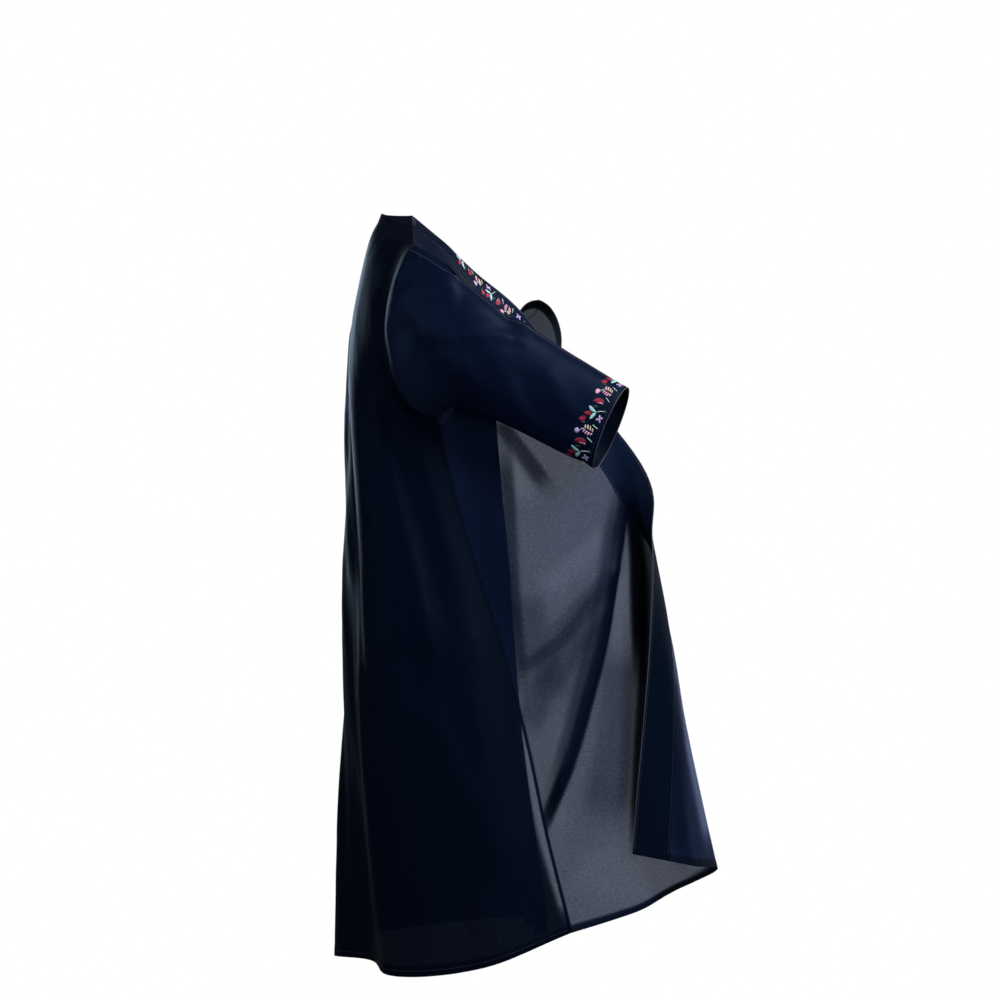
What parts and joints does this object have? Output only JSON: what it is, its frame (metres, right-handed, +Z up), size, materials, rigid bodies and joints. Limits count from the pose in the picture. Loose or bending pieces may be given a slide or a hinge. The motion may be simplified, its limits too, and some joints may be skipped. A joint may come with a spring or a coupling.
{
  "type": "open abaya cloak",
  "caption": "Long open over-garment of thin black crepe, collarless, with wide sleeves, worn hollow and held open at one front edge.",
  "frame": {"origin": "between the shoulders at the base of the neck, where the wearer carries it", "axes": "+Z up, +X the way the wearer faces, +Y the wearer's left"},
  "size_m": [0.709, 0.6541, 1.3927],
  "materials": {
    "crepe": "thin black crepe with a soft satin face",
    "crepe_sleeve": "thin black crepe with an embroidered band at the cuff",
    "facing": "matt wrong side of the same crepe"
  },
  "bodies": {
    "root": {"back": "crepe", "front_right": "crepe", "front_left": "crepe", "sleeve_right": "crepe_sleeve", "sleeve_left": "crepe_sleeve", "front_facing_right": "facing", "front_facing_left": "facing"}
  },
  "joints": []
}
